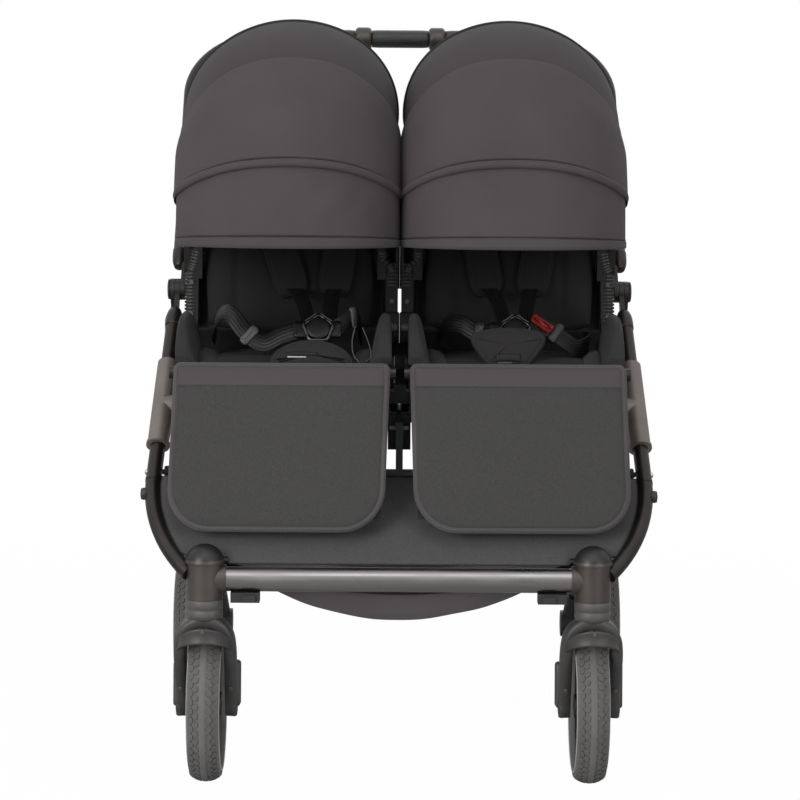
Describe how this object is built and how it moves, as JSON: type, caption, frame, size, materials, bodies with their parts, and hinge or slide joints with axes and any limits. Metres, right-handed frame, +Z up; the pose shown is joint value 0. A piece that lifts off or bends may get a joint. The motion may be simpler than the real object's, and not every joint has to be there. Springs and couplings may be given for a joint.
{
  "type": "side by side double stroller",
  "caption": "Side by side folding stroller with reclining seats, hinged calf rests, folding canopies, swivelling front wheels, a basket and one push handle.",
  "frame": {"origin": "on the floor under the middle of the stroller's bounding box", "axes": "+Z up, +Y towards the push handle, +X to the right as seen from the front; the seats face -Y"},
  "size_m": [0.7248, 0.794, 1.0742],
  "materials": {
    "frame": "satin",
    "bar": "brushed",
    "housing": "satin",
    "black_plastic": "fine texture",
    "gloss_plastic": "gloss",
    "canopy": "plain weave",
    "calf": "melange weave",
    "panel": "felt",
    "lining": "soft",
    "webbing": "woven",
    "steel": "plain",
    "grip": "grained",
    "tyre": "matt",
    "rim": "satin"
  },
  "bodies": {
    "chassis": {"left_front_leg": "frame", "right_front_leg": "frame", "front_bar": "bar", "left_caster_housing": "housing", "right_caster_housing": "housing", "seat_cross_tube": "frame", "side_brackets": "black_plastic", "seat_saddles": "black_plastic", "footwell_panel": "panel", "basket": "panel", "basket_straps": "webbing", "left_seat_frame": "frame", "right_seat_frame": "frame", "left_seat_cushion": "lining", "right_seat_cushion": "lining", "left_buckle": "gloss_plastic", "right_buckle": "gloss_plastic", "waist_straps": "webbing", "fold_pins": "steel"},
    "handle": {"left_push_tube": "frame", "right_push_tube": "frame", "handlebar": "frame", "handle_grips": "grip", "handle_collars": "gloss_plastic"},
    "fold_slider": {"fold_slider": "black_plastic"},
    "rear_frame": {"left_rear_leg": "frame", "right_rear_leg": "frame", "rear_axle": "frame", "axle_housings": "black_plastic"},
    "brake": {"brake_pedal": "black_plastic"},
    "left_caster": {"left_fork": "black_plastic"},
    "left_front_wheel": {"left_front_tyre": "tyre", "left_front_rim": "rim"},
    "left_rear_wheel": {"left_rear_tyre": "tyre", "left_rear_rim": "rim"},
    "left_swivel_lock": {"left_swivel_lock": "black_plastic"},
    "left_button": {"left_buckle_button": "gloss_plastic"},
    "left_calf_rest": {"left_calf_board": "black_plastic", "left_calf_pad": "calf"},
    "left_backrest": {"left_backrest_frame": "frame", "left_backrest_pad": "lining", "left_shoulder_pads": "lining", "left_canopy_rear": "canopy"},
    "left_canopy": {"left_canopy_main": "canopy"},
    "left_visor": {"left_visor": "canopy"},
    "right_caster": {"right_fork": "black_plastic"},
    "right_front_wheel": {"right_front_tyre": "tyre", "right_front_rim": "rim"},
    "right_rear_wheel": {"right_rear_tyre": "tyre", "right_rear_rim": "rim"},
    "right_swivel_lock": {"right_swivel_lock": "black_plastic"},
    "right_button": {"right_buckle_button": "gloss_plastic"},
    "right_calf_rest": {"right_calf_board": "black_plastic", "right_calf_pad": "calf"},
    "right_backrest": {"right_backrest_frame": "frame", "right_backrest_pad": "lining", "right_shoulder_pads": "lining", "right_canopy_rear": "canopy"},
    "right_canopy": {"right_canopy_main": "canopy"},
    "right_visor": {"right_visor": "canopy"}
  },
  "joints": [
    {"name": "handle_fold", "type": "hinge", "parent": "chassis", "child": "handle", "pos_m": [0, 0.034, 0.67], "axis": [-1, 0, 0], "range_deg": [0, 95]},
    {"name": "rear_leg_fold", "type": "hinge", "parent": "chassis", "child": "rear_frame", "pos_m": [0, 0.034, 0.67], "axis": [-1, 0, 0], "range_deg": [0, 40]},
    {"name": "fold_slide", "type": "slide", "parent": "handle", "child": "fold_slider", "axis": [1, 0, 0], "range_m": [0, 0.008], "stiffness_N_per_m": 200},
    {"name": "brake_press", "type": "hinge", "parent": "rear_frame", "child": "brake", "pos_m": [0, 0.24172, 0.202], "axis": [-1, 0, 0], "range_deg": [0, 18]},
    {"name": "left_swivel", "type": "hinge", "parent": "chassis", "child": "left_caster", "pos_m": [-0.268, -0.331, 0.25], "axis": [0, 0, 1], "continuous": true},
    {"name": "left_front_spin", "type": "hinge", "parent": "left_caster", "child": "left_front_wheel", "pos_m": [-0.268, -0.289, 0.108], "axis": [1, 0, 0], "continuous": true},
    {"name": "left_rear_spin", "type": "hinge", "parent": "rear_frame", "child": "left_rear_wheel", "pos_m": [-0.329, 0.279, 0.118], "axis": [1, 0, 0], "continuous": true},
    {"name": "left_lock", "type": "slide", "parent": "chassis", "child": "left_swivel_lock", "axis": [-1, 0, 0], "range_m": [0, 0.005]},
    {"name": "left_press", "type": "slide", "parent": "chassis", "child": "left_button", "axis": [0, 0.8829, -0.4695], "range_m": [0, 0.0025], "stiffness_N_per_m": 400},
    {"name": "left_calf", "type": "hinge", "parent": "chassis", "child": "left_calf_rest", "pos_m": [0, -0.246, 0.571], "axis": [-1, 0, 0], "range_deg": [0, 68]},
    {"name": "left_recline", "type": "hinge", "parent": "chassis", "child": "left_backrest", "pos_m": [0, -0.001, 0.556], "axis": [-1, 0, 0], "range_deg": [0, 35]},
    {"name": "left_canopy_fold", "type": "hinge", "parent": "left_backrest", "child": "left_canopy", "pos_m": [0, 0.029, 0.743], "axis": [-1, 0, 0], "range_deg": [0, 34]},
    {"name": "left_visor_fold", "type": "hinge", "parent": "left_backrest", "child": "left_visor", "pos_m": [0, 0.029, 0.743], "axis": [-1, 0, 0], "range_deg": [0, 54]},
    {"name": "right_swivel", "type": "hinge", "parent": "chassis", "child": "right_caster", "pos_m": [0.268, -0.331, 0.25], "axis": [0, 0, 1], "continuous": true},
    {"name": "right_front_spin", "type": "hinge", "parent": "right_caster", "child": "right_front_wheel", "pos_m": [0.268, -0.289, 0.108], "axis": [1, 0, 0], "continuous": true},
    {"name": "right_rear_spin", "type": "hinge", "parent": "rear_frame", "child": "right_rear_wheel", "pos_m": [0.329, 0.279, 0.118], "axis": [1, 0, 0], "continuous": true},
    {"name": "right_lock", "type": "slide", "parent": "chassis", "child": "right_swivel_lock", "axis": [1, 0, 0], "range_m": [0, 0.005]},
    {"name": "right_press", "type": "slide", "parent": "chassis", "child": "right_button", "axis": [0, 0.8829, -0.4695], "range_m": [0, 0.0025], "stiffness_N_per_m": 400},
    {"name": "right_calf", "type": "hinge", "parent": "chassis", "child": "right_calf_rest", "pos_m": [0, -0.246, 0.571], "axis": [-1, 0, 0], "range_deg": [0, 68]},
    {"name": "right_recline", "type": "hinge", "parent": "chassis", "child": "right_backrest", "pos_m": [0, -0.001, 0.556], "axis": [-1, 0, 0], "range_deg": [0, 35]},
    {"name": "right_canopy_fold", "type": "hinge", "parent": "right_backrest", "child": "right_canopy", "pos_m": [0, 0.029, 0.743], "axis": [-1, 0, 0], "range_deg": [0, 34]},
    {"name": "right_visor_fold", "type": "hinge", "parent": "right_backrest", "child": "right_visor", "pos_m": [0, 0.029, 0.743], "axis": [-1, 0, 0], "range_deg": [0, 54]}
  ],
  "couplings": [
    {"joint": "rear_leg_fold", "follows": "handle_fold", "ratio": 0.42105},
    {"joint": "left_visor_fold", "follows": "left_canopy_fold", "ratio": 1.5881},
    {"joint": "right_visor_fold", "follows": "right_canopy_fold", "ratio": 1.5881}
  ]
}
